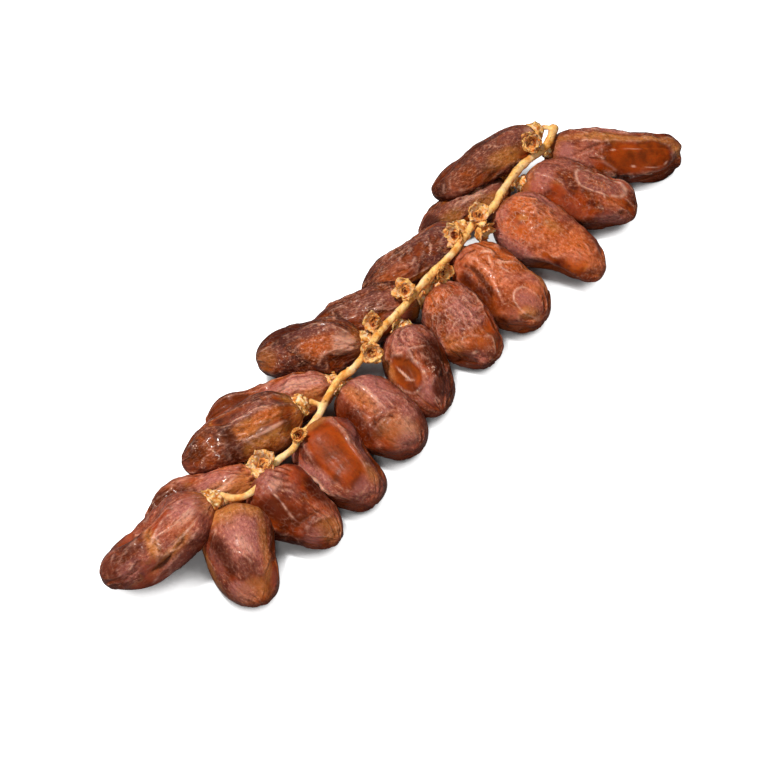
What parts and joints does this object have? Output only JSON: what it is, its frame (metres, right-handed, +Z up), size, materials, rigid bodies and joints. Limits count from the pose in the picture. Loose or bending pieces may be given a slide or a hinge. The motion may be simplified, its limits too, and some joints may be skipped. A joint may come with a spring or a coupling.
{
  "type": "bunch of dates",
  "caption": "Bunch of soft dried dates lying on a table, the wrinkled brown fruit still joined by its papery caps along both sides of one thin, pale palm strand.",
  "frame": {"origin": "on the table, below the centre of the bunch's bounding box", "axes": "+X along the strand towards its cut end, +Y to the strand's left as seen from above, +Z up from the table"},
  "size_m": [0.2642, 0.0802, 0.0256],
  "materials": {
    "date_skin": "wrinkled, satin with glossy patches",
    "calyx": "dry, papery",
    "strand": "smooth, matte"
  },
  "bodies": {
    "root": {"date_left_1": "date_skin", "calyx_left_1": "calyx", "date_left_2": "date_skin", "calyx_left_2": "calyx", "date_left_3": "date_skin", "calyx_left_3": "calyx", "date_left_4": "date_skin", "calyx_left_4": "calyx", "date_left_5": "date_skin", "calyx_left_5": "calyx", "date_left_6": "date_skin", "calyx_left_6": "calyx", "date_left_7": "date_skin", "calyx_left_7": "calyx", "date_left_8": "date_skin", "calyx_left_8": "calyx", "date_left_9": "date_skin", "calyx_left_9": "calyx", "date_right_1": "date_skin", "calyx_right_1": "calyx", "date_right_2": "date_skin", "calyx_right_2": "calyx", "date_right_3": "date_skin", "calyx_right_3": "calyx", "date_right_4": "date_skin", "calyx_right_4": "calyx", "date_right_5": "date_skin", "calyx_right_5": "calyx", "date_right_6": "date_skin", "calyx_right_6": "calyx", "date_right_7": "date_skin", "calyx_right_7": "calyx", "date_right_8": "date_skin", "calyx_right_8": "calyx", "date_right_9": "date_skin", "calyx_right_9": "calyx", "date_right_10": "date_skin", "calyx_right_10": "calyx", "cup_1": "calyx", "cup_2": "calyx", "cup_3": "calyx", "cup_4": "calyx", "cup_5": "calyx", "cup_6": "calyx", "cup_7": "calyx", "cup_8": "calyx", "cup_9": "calyx", "cup_10": "calyx", "strand": "strand"}
  },
  "joints": []
}
